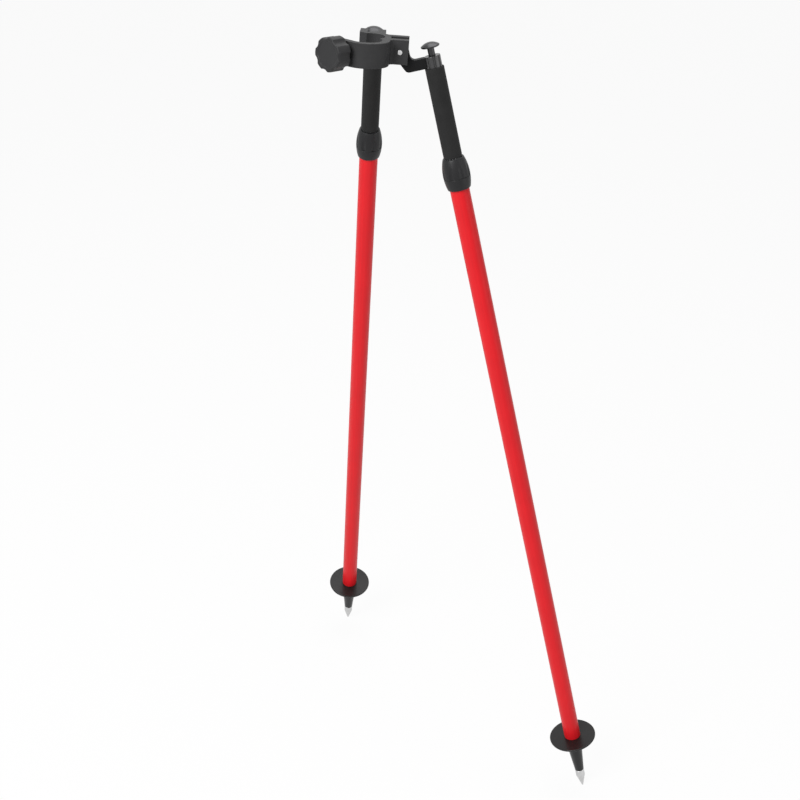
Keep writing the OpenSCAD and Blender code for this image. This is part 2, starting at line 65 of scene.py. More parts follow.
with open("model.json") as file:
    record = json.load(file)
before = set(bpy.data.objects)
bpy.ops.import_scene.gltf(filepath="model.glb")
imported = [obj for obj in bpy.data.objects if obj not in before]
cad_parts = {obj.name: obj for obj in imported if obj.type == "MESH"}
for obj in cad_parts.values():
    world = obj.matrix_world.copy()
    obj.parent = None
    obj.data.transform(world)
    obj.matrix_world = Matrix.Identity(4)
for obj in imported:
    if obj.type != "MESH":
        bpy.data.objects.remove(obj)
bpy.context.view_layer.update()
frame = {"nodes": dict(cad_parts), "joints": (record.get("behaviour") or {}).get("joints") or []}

SIDES = ("right", "left")
MM = 0.001
# Clearance between fixed pieces, clearance of a running fit, and how far cutters run past the faces they open
FIT, RUN, OVERCUT = 0.02 * MM, 0.05 * MM, 1.0 * MM
# Edges that turn by more than this stay sharp
SHARP = math.radians(38)
# Half the angle at a corner too flat for an arc, and the most of either side that an arc may take
FLAT_CORNER, ARC_SHARE = math.radians(85), 0.48
# Softboxes, in metres: how far right of the aim, towards the camera and up, then width and height
LAMPS = {
    "key": (-1.6, 2.2, 1.9, 1.6, 2.2),
    "fill": (2.6, 1.2, 0.5, 1.4, 2.4),
    "top": (0.0, -0.6, 2.6, 2.0, 2.0),
}


def length(name, description, default, low=0.0, high=1.0):
    """A size in metres that a user may change."""
    return FloatProperty(
        name=name, description=description, default=default, min=low, max=high, unit="LENGTH", precision=5
    )


def amount(name, description, default, low, high):
    """A whole number that a user may change."""
    return IntProperty(name=name, description=description, default=default, min=low, max=high)


def number(name, description, default, low=0.0, high=1000.0):
    """A plain number that a user may change."""
    return FloatProperty(name=name, description=description, default=default, min=low, max=high)


def bearing(name, description, degrees):
    """An angle of the camera that a user may change."""
    return FloatProperty(name=name, description=description, default=math.radians(degrees), subtype="ANGLE")


def tint(name, description, default):
    """A colour that a user may change."""
    return FloatVectorProperty(
        name=name, description=description, default=default, subtype="COLOR", size=3, min=0.0, max=1.0
    )


class BipodSizes(bpy.types.PropertyGroup):
    """Fine sizes of the dressed pieces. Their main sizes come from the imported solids."""

    facets: amount("Facets", "Faces round a turned piece", 96, 24, 256)
    edge: length("Edge", "Rounding of a plain machined edge", 0.5 * MM)
    soft_edge: length("Soft edge", "Rounding of a moulded or rubber edge", 1.0 * MM)
    clamp_edge: length("Clamp edge", "Rounding of the clamp's and the brackets' rims", 0.6 * MM)
    corner: length("Corner", "Rounding of the clamp's upright corners", 0.8 * MM)
    pitch: length("Pitch", "Pitch of the clamp screw's thread", 1.5 * MM)
    thread: length("Thread", "Depth of the clamp screw's thread", 0.85 * MM)
    knob_lobes: amount("Knob lobes", "Lobes round the knob", 7, 3, 12)
    knob_flute: length("Knob hollow", "Depth of the hollows between the knob's lobes", 2.4 * MM)
    knob_flute_r: length("Knob hollow radius", "Radius of the hollows between the knob's lobes", 8.0 * MM)
    knob_round: length("Knob rounding", "Rounding of the knob's front and back rims", 3.0 * MM)
    hub_r: length("Hub radius", "Radius of the knob's hub", 8.0 * MM)
    hub_len: length("Hub length", "Length of the knob's hub", 2.0 * MM)
    nose_r: length("Nose radius", "Radius of the screw's nose in the pad", 3.5 * MM)
    nose_len: length("Nose length", "Length of the screw's nose", 3.2 * MM)
    flange_t: length("Flange", "Thickness of the screw insert's flange", 1.5 * MM)
    insert_r: length("Insert radius", "Radius of the screw insert in the arm", 7.05 * MM)
    button_h: length("Button head", "Height of the thumb button's head", 6.0 * MM)
    button_dome: length("Button dome", "Radius of the thumb button's domed top", 18.0 * MM)
    stem_r: length("Stem radius", "Radius of the thumb button's stem", 4.25 * MM)
    boss_h: length("Boss height", "Height of the bracket's ribbed boss", 14.0 * MM)
    boss_r: length("Boss radius", "Radius of the bracket's ribbed boss", 10.0 * MM)
    boss_ribs: amount("Boss ribs", "Ribs round the boss", 9, 3, 24)
    rib_depth: length("Rib depth", "Depth and radius of the grooves between the boss's ribs", 1.2 * MM)
    stem_hole_r: length("Stem hole", "Radius of the stem's hole in the boss", 4.3 * MM)
    guide_len: length("Stem guide", "Length of the stem's hole in the boss", 9.5 * MM)
    pocket_r: length("Spring pocket", "Radius of the spring's pocket in the spigot", 7.28 * MM)
    floor_t: length("Pocket floor", "Thickness of the spigot's floor", 10.0 * MM)
    rod_hole_r: length("Rod hole", "Radius of the push rod's hole in the spigot's floor", 3.4 * MM)
    pin_slot: length("Pin slot", "Width of the driver's slot in a pivot pin's ends", 1.2 * MM)
    pin_hole_r: length("Pin hole", "Radius of the hole through a bracket's eye", 3.05 * MM)
    spring_r: length("Spring radius", "Radius of the return spring at its wire's middle", 4.94 * MM)
    spring_wire: length("Spring wire", "Thickness of the return spring's wire", 1.2 * MM)
    spring_turns: amount("Spring turns", "Turns of the return spring", 7, 3, 14)
    grip_lip: length("Grip lip", "Thickness of the grip's lip over the end of the inner tube", 1.0 * MM)
    nut_flutes: amount("Nut hollows", "Hollows round the collar nut", 8, 3, 16)
    nut_flute: length("Nut hollow", "Depth of the collar nut's hollows", 1.3 * MM)
    nut_flute_r: length("Nut hollow radius", "Radius of the collar nut's hollows", 4.5 * MM)
    lip_t: length("Nut lip", "Thickness of the collar nut's lip", 4.5 * MM)


class BipodColours(bpy.types.PropertyGroup):
    """Base colours of the finishes."""

    clamp: tint("Clamp", "Charcoal coat of the clamp", (0.034, 0.034, 0.035))
    bracket: tint("Bracket", "Black coat of the leg brackets", (0.0045, 0.0045, 0.0050))
    boss: tint("Boss", "Satin black coat of the ribbed bosses", (0.018, 0.018, 0.019))
    knob: tint("Knob", "Moulded knob", (0.022, 0.022, 0.023))
    grip: tint("Grip", "Rubber of the grip sleeves", (0.015, 0.015, 0.015))
    collar: tint("Collar", "Moulded twist collars", (0.013, 0.013, 0.014))
    foot: tint("Foot", "Moulded step discs and foot cones", (0.0095, 0.0092, 0.0095))
    tube: tint("Tube", "Red paint of the outer tubes", (0.70, 0.010, 0.016))
    steel: tint("Steel", "Bright turned steel", (0.62, 0.62, 0.62))
    brass: tint("Brass", "Turned brass", (0.70, 0.52, 0.24))
    aluminium: tint("Aluminium", "Drawn aluminium", (0.68, 0.69, 0.70))
    button: tint("Button", "Dark polished thumb buttons", (0.058, 0.058, 0.060))
    nylon: tint("Nylon", "Nylon washers and rings", (0.045, 0.045, 0.048))
    rubber: tint("Rubber", "Rubber facing of the pad", (0.016, 0.016, 0.016))


class BipodStudio(bpy.types.PropertyGroup):
    """Camera, lamps and floor."""

    heading: bearing("Heading", "Camera's heading from +Y", -39.685)
    pitch: bearing("Pitch", "How far the camera looks down", 26.468)
    roll: bearing("Roll", "Camera's roll", -4.209)
    distance: length("Distance", "Camera's distance from the point it aims at", 1.73693, 0.1, 20.0)
    aim_right: length("Aim right", "Aim's distance to the right of the pole's axis", 0.06573, -5.0, 5.0)
    aim_height: length("Aim height", "Aim's height on the pole's axis", -0.47363, -5.0, 5.0)
    lens: number("Lens", "Focal length in millimetres", 57.167, 10.0, 300.0)
    floor_size: length("Floor", "Width of the floor", 60.0, 1.0, 500.0)
    floor_grey: number("Floor grey", "How pale the floor's surface is", 0.90, 0.0, 1.0)
    floor_glow: number("Floor glow", "Share of plain white in the floor, free of shadow", 0.93, 0.0, 1.0)
    lamp_aim: length("Lamp aim", "Height on the pole's axis that the softboxes face", -0.45, -5.0, 5.0)
    sky: number("Sky", "Strength of the light from all round", 0.32, 0.0, 5.0)
    key: number("Key", "Power of the main softbox in watts", 92.0)
    fill: number("Fill", "Power of the fill softbox in watts", 10.0)
    top: number("Top", "Power of the overhead softbox in watts", 34.0)


class Wire:
    """A shader socket that takes part in Python expressions."""

    def __init__(self, tree, socket=None):
        self.tree = tree
        self.socket = socket

    def node(self, kind, settings=None, sockets=None, out=0):
        """Adds a node: its settings first, then the values or links of its sockets; gives one output."""
        made = self.tree.nodes.new(kind)
        for name, value in (settings or {}).items():
            setattr(made, name, value)
        self.feed(made, sockets or {})
        return Wire(self.tree, made.outputs[out])

    def feed(self, node, sockets):
        for name, value in sockets.items():
            if isinstance(value, Wire):
                self.tree.links.new(value.socket, node.inputs[name])
            else:
                node.inputs[name].default_value = value

    def _math(self, operation, a, b):
        return self.node("ShaderNodeMath", {"operation": operation}, {0: a, 1: b})

    def __add__(self, other):
        return self._math("ADD", self, other)

    def __radd__(self, other):
        return self._math("ADD", other, self)

    def __sub__(self, other):
        return self._math("SUBTRACT", self, other)

    def __rsub__(self, other):
        return self._math("SUBTRACT", other, self)

    def __mul__(self, other):
        return self._math("MULTIPLY", self, other)

    def __rmul__(self, other):
        return self._math("MULTIPLY", other, self)

    def between(self, low, high):
        """0 at low, 1 at high, held outside."""
        sockets = {"Value": self, "From Min": low, "From Max": high}
        return self.node("ShaderNodeMapRange", {"clamp": True}, sockets)

    def noise(self, scale, detail=2.0, roughness=0.5):
        sockets = {"Vector": self, "Scale": scale, "Detail": detail, "Roughness": roughness}
        return self.node("ShaderNodeTexNoise", None, sockets)

    def stretched(self, x, y, z):
        return self.node("ShaderNodeVectorMath", {"operation": "MULTIPLY"}, {0: self, 1: (x, y, z)})

    def blend(self, first, second):
        """A colour between two, by this factor."""
        return self.node("ShaderNodeMix", {"data_type": "RGBA"}, {0: self, 6: first, 7: second}, 2)

    def seen(self):
        """1 for what the camera sees, straight, in a mirror or through glass."""
        kinds = ("Is Camera Ray", "Is Glossy Ray", "Is Transmission Ray")
        camera, glossy, through = (self.node("ShaderNodeLightPath", out=kind) for kind in kinds)
        return camera + glossy + through

    def bump(self, strength, distance):
        sockets = {"Strength": strength, "Distance": distance, "Height": self}
        return self.node("ShaderNodeBump", None, sockets)


def rgba(colour, gain=1.0):
    """A colour for a socket, made lighter or darker by gain."""
    return (*[min(1.0, c * gain) for c in colour], 1.0)


def new_finish(name):
    """A material, its place on the surface as a Wire, and its shader."""
    material = bpy.data.materials.new(name)
    material.use_nodes = True
    tree = material.node_tree
    place = Wire(tree).node("ShaderNodeTexCoord", out="Object")
    return material, place, tree.nodes["Principled BSDF"]


def edge_mask(place, radius):
    """1 on sharp edges, 0 on flat or gently curved faces."""
    rounded_normal = place.node("ShaderNodeBevel", {"samples": 6}, {"Radius": radius})
    normal = place.node("ShaderNodeNewGeometry", out="Normal")
    both = {0: rounded_normal, 1: normal}
    facing = place.node("ShaderNodeVectorMath", {"operation": "DOT_PRODUCT"}, both, "Value")
    return (1.0 - facing).between(0.01, 0.16)


def coated(name, colour, roughness, worn, shine):
    """Powder coat on cast metal: fine orange peel, faint clouding, paler rubbed edges."""
    material, place, shader = new_finish(name)
    grain = place.noise(2600.0, 2.0, 0.6)
    cloud = place.noise(70.0, 4.0, 0.6)
    rub = edge_mask(place, 0.7 * MM) * place.noise(420.0, 3.0, 0.7).between(0.38, 0.66)
    clouded = cloud.between(0.25, 0.75).blend(rgba(colour, 0.86), rgba(colour, 1.14))
    place.feed(shader, {
        "Base Color": (rub * worn).blend(clouded, rgba(colour, 4.0)),
        "Roughness": roughness + 0.10 * cloud + 0.06 * grain - 0.10 * rub,
        "Normal": (grain + 0.4 * cloud).bump(0.22, 0.12 * MM),
        "Specular IOR Level": shine,
    })
    return material


def moulded(name, colour, roughness, grain_size, coat=0.0):
    """Moulded plastic: spark-eroded grain, flow clouding, edges rubbed shiny and paler."""
    material, place, shader = new_finish(name)
    grain = place.noise(1.0 / grain_size, 3.0, 0.65)
    flow = place.noise(38.0, 4.0, 0.55)
    scuff = place.stretched(900.0, 900.0, 160.0).noise(1.0, 4.0, 0.7).between(0.60, 0.78)
    rub = edge_mask(place, 0.6 * MM)
    clouded = flow.between(0.25, 0.75).blend(rgba(colour, 0.84), rgba(colour, 1.18))
    place.feed(shader, {
        "Base Color": (0.32 * rub + 0.10 * scuff).blend(clouded, rgba(colour, 3.2)),
        "Roughness": roughness + 0.10 * flow + 0.12 * scuff - 0.08 * rub,
        "Normal": grain.bump(0.20, 0.10 * MM),
        "Specular IOR Level": 0.25,
        "Coat Weight": coat,
        "Coat Roughness": 0.18,
    })
    return material


def rubbered(name, colour):
    """Matt rubber with a fine pebble and a dusty bloom."""
    material, place, shader = new_finish(name)
    pebble = place.node("ShaderNodeTexVoronoi", None, {"Vector": place, "Scale": 900.0})
    bloom = place.noise(55.0, 5.0, 0.6)
    rub = edge_mask(place, 0.8 * MM)
    dusted = bloom.between(0.30, 0.80).blend(rgba(colour, 0.80), rgba(colour, 1.35))
    place.feed(shader, {
        "Base Color": (0.25 * rub).blend(dusted, rgba(colour, 3.0)),
        "Roughness": 0.62 + 0.16 * bloom,
        "Normal": (pebble + 0.5 * place.noise(3000.0)).bump(0.25, 0.10 * MM),
        "Specular IOR Level": 0.20,
    })
    return material


def painted(name, colour):
    """Satin paint on a drawn tube: soft orange peel, faint lengthwise streaks, a few fine scuffs."""
    material, place, shader = new_finish(name)
    peel = place.noise(420.0, 2.0, 0.5)
    streak = place.stretched(420.0, 420.0, 2.2).noise(1.0, 3.0, 0.6)
    scuff = place.stretched(1500.0, 1500.0, 90.0).noise(1.0, 5.0, 0.75).between(0.66, 0.80)
    cloud = place.noise(22.0, 3.0, 0.5)
    shaded = (0.6 * streak + 0.4 * cloud).between(0.30, 0.72).blend(rgba(colour, 0.90), rgba(colour, 1.08))
    place.feed(shader, {
        "Base Color": (0.12 * scuff).blend(shaded, rgba((0.80, 0.22, 0.22))),
        "Roughness": 0.30 + 0.08 * cloud + 0.05 * streak + 0.14 * scuff,
        "Normal": (peel + 0.3 * streak).bump(0.05, 0.08 * MM),
        "Specular IOR Level": 0.21,
    })
    return material


def metal(name, colour, roughness, across, along, strength=0.10):
    """Bare metal with fine tool lines: many along z for turned work, many across for drawn work."""
    material, place, shader = new_finish(name)
    lines = place.stretched(across, across, along).noise(1.0, 4.0, 0.65)
    tarnish = place.noise(80.0, 4.0, 0.6)
    rub = edge_mask(place, 0.5 * MM)
    toned = (0.5 * lines + 0.5 * tarnish).between(0.30, 0.70).blend(rgba(colour, 0.80), rgba(colour, 1.08))
    place.feed(shader, {
        "Base Color": (0.4 * rub).blend(toned, rgba(colour, 1.3)),
        "Metallic": 1.0,
        "Roughness": roughness + 0.16 * tarnish + 0.10 * lines - 0.05 * rub,
        "Normal": lines.bump(strength, 0.04 * MM),
    })
    return material


def finish(name):
    """The named finish, made once. Names are the record's material slots, and one for the bosses."""
    found = bpy.data.materials.get("finish_" + name)
    if found:
        return found
    colours = bpy.context.scene.bipod_colours
    turned_lines, drawn_lines = (60.0, 5200.0), (4200.0, 14.0)
    makers = {
        "clamp_coat": lambda n: coated(n, colours.clamp, 0.44, 0.30, 0.14),
        "bracket_coat": lambda n: coated(n, colours.bracket, 0.44, 0.22, 0.15),
        "boss_coat": lambda n: coated(n, colours.boss, 0.20, 0.22, 0.70),
        "knob_plastic": lambda n: moulded(n, colours.knob, 0.42, 0.40 * MM),
        "collar_plastic": lambda n: moulded(n, colours.collar, 0.34, 0.45 * MM),
        "foot_plastic": lambda n: moulded(n, colours.foot, 0.28, 0.60 * MM, 0.10),
        "nylon": lambda n: moulded(n, colours.nylon, 0.40, 0.50 * MM),
        "grip_rubber": lambda n: rubbered(n, colours.grip),
        "rubber": lambda n: rubbered(n, colours.rubber),
        "red_paint": lambda n: painted(n, colours.tube),
        "steel": lambda n: metal(n, colours.steel, 0.26, *turned_lines),
        "brass": lambda n: metal(n, colours.brass, 0.28, *turned_lines),
        "button_metal": lambda n: metal(n, colours.button, 0.16, *turned_lines, 0.05),
        "aluminium": lambda n: metal(n, colours.aluminium, 0.30, *drawn_lines),
    }
    return makers[name]("finish_" + name)


def joint(name):
    return next(j for j in frame["joints"] if j["name"] == name)


def axes_matrix(x, y, z, origin):
    """Placement with these axes and origin."""
    made = Matrix((x, y, z)).transposed().to_4x4()
    made.translation = origin
    return made


def leg_frame(side):
    """A leg's own frame: Z up its axis, Y along its pivot pin, the origin level with the pin."""
    down = Vector(joint(side + "_leg_extend")["axis"]).normalized()
    swing = joint(side + "_leg_swing")
    pin, y = Vector(swing["pos_m"]), -Vector(swing["axis"]).normalized()
    on_axis = Vector(joint(side + "_collar_twist")["pos_m"])
    return axes_matrix(y.cross(-down), y, -down, on_axis + down * (pin - on_axis).dot(down))


def pin_frame(side):
    """A pivot pin's frame: Z along the pin, the origin at its middle."""
    leg = leg_frame(side).to_3x3()
    return axes_matrix(leg.col[2], leg.col[0], leg.col[1], Vector(joint(side + "_leg_swing")["pos_m"]))


def screw_frame():
    """The clamp screw's frame: Z from the pole's axis out to the knob."""
    return axes_matrix(Vector((1, 0, 0)), Vector((0, 0, 1)), Vector((0, -1, 0)), Vector((0, 0, 0)))


def points_of(node, place):
    """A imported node's points in a frame."""
    data = frame["nodes"][node].data
    co = np.zeros(len(data.vertices) * 3)
    data.vertices.foreach_get("co", co)
    back = np.array(place.inverted())
    return co.reshape(-1, 3) @ back[:3, :3].T + back[:3, 3]


def reach(node, place):
    """Lowest and highest Z, least and greatest radius of a node in a frame."""
    p = points_of(node, place)
    r = np.hypot(p[:, 0], p[:, 1])
    return p[:, 2].min(), p[:, 2].max(), r.min(), r.max()


def outer_profile(node, place):
    """Greatest radius at each level of a node, as (radius, z) from the bottom up."""
    rows = {}
    for x, y, z in points_of(node, place):
        level = round(z, 5)
        rows[level] = max(rows.get(level, 0.0), math.hypot(x, y))
    return [(rows[z], z) for z in sorted(rows)]


def largest_flat(node, place):
    """Height and outer outline of the node's largest flat face that looks along +Z of a frame."""
    p = points_of(node, place)
    data = frame["nodes"][node].data
    data.calc_loop_triangles()
    levels = {}
    for tri in data.loop_triangles:
        a, b, c = (p[i] for i in tri.vertices)
        area = np.cross(b - a, c - a) / 2
        if area[2] > 0.999 * np.linalg.norm(area) > 0:
            levels.setdefault(round(a[2], 6), []).append((area[2], (a, b, c)))
    level = max(levels, key=lambda z: sum(area for area, _ in levels[z]))
    onward, inner = {}, set()
    for _, corners in levels[level]:
        keys = [tuple(np.round(q[:2], 7)) for q in corners]
        for i in range(3):
            inner.add((keys[i], keys[(i + 1) % 3]))
    for a, b in inner:
        if (b, a) not in inner:
            onward[a] = b
    loops = []
    while onward:
        start, here = next(iter(onward.items()))
        loop = [start]
        del onward[start]
        while here != start:
            loop.append(here)
            here = onward.pop(here)
        loops.append(loop)

    def spread(loop):
        xy = np.array(loop)
        return np.ptp(xy[:, 0]) + np.ptp(xy[:, 1])

    return level, max(loops, key=spread)


def rounded(corners, closed=False, steps=4):
    """An outline through corners (x, y, radius), with an arc for each corner that has a radius."""
    count, out = len(corners), []
    for i, (x, y, radius) in enumerate(corners):
        here = Vector((x, y))
        if not radius or (not closed and i in (0, count - 1)):
            out.append((x, y))
            continue
        back = Vector(corners[i - 1][:2]) - here
        on = Vector(corners[(i + 1) % count][:2]) - here
        half = back.angle(on) / 2
        if half > FLAT_CORNER:
            out.append((x, y))
            continue
        cut = min(radius / math.tan(half), ARC_SHARE * back.length, ARC_SHARE * on.length)
        centre = here + (back.normalized() + on.normalized()).normalized() * (cut / math.cos(half))
        first, last = here + back.normalized() * cut - centre, here + on.normalized() * cut - centre
        turn = math.atan2(first.x * last.y - first.y * last.x, first.dot(last))
        for k in range(steps + 1):
            c, s = math.cos(turn * k / steps), math.sin(turn * k / steps)
            out.append((centre.x + first.x * c - first.y * s, centre.y + first.x * s + first.y * c))
    return out


def turned(name, outline, closed=False, facets=None, shape=None):
    """A mesh turned about Z from an outline of (radius, z), up its outside; shape may alter the radius."""
    facets = facets or bpy.context.scene.bipod_sizes.facets
    verts, rings = [], []
    for r, z in outline:
        if r < 1e-7:
            rings.append([len(verts)] * facets)
            verts.append((0.0, 0.0, z))
            continue
        rings.append(list(range(len(verts), len(verts) + facets)))
        for k in range(facets):
            a = 2 * math.pi * k / facets
            radius = shape(r, z, a) if shape else r
            verts.append((radius * math.cos(a), radius * math.sin(a), z))
    faces = []
    last = len(rings) if closed else len(rings) - 1
    for i in range(last):
        low, high = rings[i], rings[(i + 1) % len(rings)]
        for k in range(facets):
            n = (k + 1) % facets
            face = []
            for v in (low[k], low[n], high[n], high[k]):
                if v not in face:
                    face.append(v)
            if len(face) > 2:
                faces.append(face)
    return mesh_of(name, verts, faces)


def mesh_of(name, verts, faces):
    """A clean mesh with outward faces, smooth but for its sharp edges."""
    mesh = bpy.data.meshes.new(name)
    mesh.from_pydata(verts, [], faces)
    body = bmesh.new()
    body.from_mesh(mesh)
    bmesh.ops.remove_doubles(body, verts=body.verts, dist=1e-7)
    bmesh.ops.recalc_face_normals(body, faces=body.faces)
    body.to_mesh(mesh)
    body.free()
    shade(mesh)
    return mesh


def shade(mesh):
    mesh.polygons.foreach_set("use_smooth", [True] * len(mesh.polygons))
    mesh.set_sharp_from_angle(angle=SHARP)
    mesh.update()


def prism(name, outline, low, high, edge):
    """A mesh with this outline between two heights, its rims rounded."""
    body = bmesh.new()
    base = [body.verts.new((x, y, low)) for x, y in outline]
    top = [body.verts.new((x, y, high)) for x, y in outline]
    count = len(outline)
    rims = [body.faces.new(list(reversed(base))), body.faces.new(top)]
    for i in range(count):
        n = (i + 1) % count
        body.faces.new((base[i], base[n], top[n], top[i]))
    bmesh.ops.recalc_face_normals(body, faces=body.faces)
    edges = list({e for face in rims for e in face.edges})
    bmesh.ops.bevel(
        body, geom=edges, offset=edge, segments=3, profile=0.5, affect="EDGES", clamp_overlap=False
    )
    mesh = bpy.data.meshes.new(name)
    body.to_mesh(mesh)
    body.free()
    return mesh


def cut_with(mesh, cutters):
    """The mesh with cutter meshes taken out of it, each given with its placement."""
    work = bpy.data.objects.new("cutting", mesh)
    bpy.context.scene.collection.objects.link(work)
    tools = []
    for cutter, place in cutters:
        tool = bpy.data.objects.new("cutter", cutter)
        bpy.context.scene.collection.objects.link(tool)
        tool.matrix_world = place
        modifier = work.modifiers.new("cut", "BOOLEAN")
        modifier.operation, modifier.solver, modifier.object = "DIFFERENCE", "EXACT", tool
        tools.append(tool)
    bpy.context.view_layer.update()
    cut_body = work.evaluated_get(bpy.context.evaluated_depsgraph_get())
    made = bpy.data.meshes.new_from_object(cut_body)
    made.name = mesh.name
    for o in [work, *tools]:
        bpy.data.objects.remove(o)
    shade(made)
    return made


def rod(name, low, high, r):
    """A plain round bar, for cutting holes."""
    return turned(name, [(0, low), (r, low), (r, high), (0, high)], facets=64)


def place_piece(name, mesh, place, body, slot, *nodes):
    """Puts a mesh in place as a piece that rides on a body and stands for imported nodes."""
    piece = bpy.data.objects.new(name, mesh)
    bpy.context.scene.collection.objects.link(piece)
    piece.matrix_world = place
    if not mesh.materials:
        mesh.materials.append(finish(slot))
    normals = piece.modifiers.new("even normals", "WEIGHTED_NORMAL")
    normals.keep_sharp = True
    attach(piece, body)
    if nodes:
        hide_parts(*nodes)
    return piece


def dress(node, slot):
    """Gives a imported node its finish."""
    materials = frame["nodes"][node].data.materials
    materials.clear()
    materials.append(finish(slot))


def soft_least(a, b, width):
    """The lesser of two lengths, blended where they are close."""
    h = max(0.0, min(1.0, 0.5 + 0.5 * (b - a) / width))
    return b + (a - b) * h - width * h * (1 - h)


def hollow(angle, count, phase, at, radius):
    """Radius at which a ray meets one of the round hollows cut about an axis, or a long way out."""
    step = 2 * math.pi / count
    off = (angle / step - phase + 0.5) % 1.0 * step - step / 2
    across = at * math.sin(off)
    if abs(across) >= radius or math.cos(off) <= 0:
        return 1.0
    return at * math.cos(off) - math.sqrt(radius * radius - across * across)


def thinned(rows, least):
    """Rows of an outline at least this far apart in height, with both ends kept."""
    kept = [rows[0]]
    for row in rows[1:-1]:
        if row[1] - kept[-1][1] >= least and rows[-1][1] - row[1] >= least:
            kept.append(row)
    return [*kept, rows[-1]]


def with_soft_ends(rows, radius):
    """Rows of an outline as corners, the first and the last of them rounded."""
    last = len(rows) - 1
    return [(r, z, radius if i in (0, last) else 0) for i, (r, z) in enumerate(rows)]


class BIPOD_OT_clamp_body(bpy.types.Operator):
    """Clamp body: the hook-shaped block with rounded rims and corners, drilled for its pins and screw"""

    bl_idname = "bipod.clamp_body"
    bl_label = "Clamp body"

    def execute(self, context):
        sizes = context.scene.bipod_sizes
        upright = Matrix.Identity(4)
        level, loop = largest_flat("clamp_body", upright)
        outline = rounded([(x, y, sizes.corner) for x, y in loop], closed=True)
        block = prism("clamp_block", outline, -level, level, sizes.clamp_edge)
        screw = screw_frame()
        arm_in, arm_out, _, _ = reach("screw_insert", screw)
        cutters = [(rod("screw_hole", arm_in - OVERCUT, arm_out + OVERCUT, sizes.insert_r + FIT), screw)]
        for side in SIDES:
            low, high, _, r = reach(side + "_pivot_pin", pin_frame(side))
            cutters.append((rod("pin_hole", low - OVERCUT, high + OVERCUT, r + FIT), pin_frame(side)))
        place_piece("clamp_block", cut_with(block, cutters), upright, "head", "clamp_coat", "clamp_body")
        return {"FINISHED"}


class BIPOD_OT_clamp_screw(bpy.types.Operator):
    """Clamp screw: threaded screw, flanged insert, pressure pad and grooved facing"""

    bl_idname = "bipod.clamp_screw"
    bl_label = "Clamp screw"

    def execute(self, context):
        sizes = context.scene.bipod_sizes
        screw = screw_frame()
        low, high, _, r = reach("clamp_screw", screw)
        shoulder = low + sizes.nose_len
        row_gap, flat = sizes.pitch / 10, 0.12
        rows = int((high - shoulder) / row_gap)
        outline = rounded([
            (0, low, 0), (sizes.nose_r, low, sizes.edge), (sizes.nose_r, shoulder, 0),
            (r - sizes.thread, shoulder, 0),
        ])
        for k in range(1, rows):
            outline.append((r, shoulder + (high - shoulder) * k / rows))
        outline += [(r - sizes.thread, high), (0, high)]

        def thread(radius, z, angle):
            if radius < r - 1e-6:
                return radius
            turn = (z / sizes.pitch - angle / (2 * math.pi)) % 1.0
            crest = min(1.0, max(0.0, (abs(turn - 0.5) * 2 - flat) / (1 - 2 * flat)))
            return r - sizes.thread * (1 - crest)

        mesh = turned("threaded_screw", outline, facets=48, shape=thread)
        place_piece("threaded_screw", mesh, screw, "knob", "steel", "clamp_screw")

        low, high, bore, flange = reach("screw_insert", screw)
        seat = high - sizes.flange_t
        thin, room = sizes.edge / 2, 0.03 * MM
        body_r = sizes.insert_r - room
        mesh = turned("flanged_insert", rounded([
            (bore, low, thin), (body_r, low, thin), (body_r, seat, 0), (flange, seat, 0),
            (flange, high, sizes.edge), (bore, high, sizes.edge),
        ], closed=True), closed=True)
        place_piece("flanged_insert", mesh, screw, "head", "bracket_coat", "screw_insert")

        low, high, _, pad_r = reach("pressure_pad", screw)
        nose, end_room = sizes.nose_r + RUN, 0.2 * MM
        depth = high - sizes.nose_len - end_room
        mesh = turned("swivel_pad", rounded([
            (0, low, 0), (pad_r, low, 0), (pad_r, high, sizes.edge * 1.4), (nose, high, sizes.edge),
            (nose, depth, 0), (0, depth, 0),
        ]))
        place_piece("swivel_pad", mesh, screw, "pad", "steel", "pressure_pad")

        low, high, _, pad_r = reach("pad_facing", screw)
        face = [(0, low, 0)]
        grooves, slope, flat, deep, soft = 3, 0.3 * MM, 0.4 * MM, 0.6 * MM, 0.2 * MM
        for k in range(grooves):
            r0 = pad_r * (k + 0.7) / (grooves + 0.4)
            r1 = r0 + slope
            r2 = r1 + flat
            face += [(r0, low, soft), (r1, low + deep, soft), (r2, low + deep, soft), (r2 + slope, low, soft)]
        face += [(pad_r, low, sizes.soft_edge * 0.7), (pad_r, high, 0), (0, high, 0)]
        mesh = turned("grooved_facing", rounded(face, steps=3))
        place_piece("grooved_facing", mesh, screw, "pad", "rubber", "pad_facing")
        return {"FINISHED"}


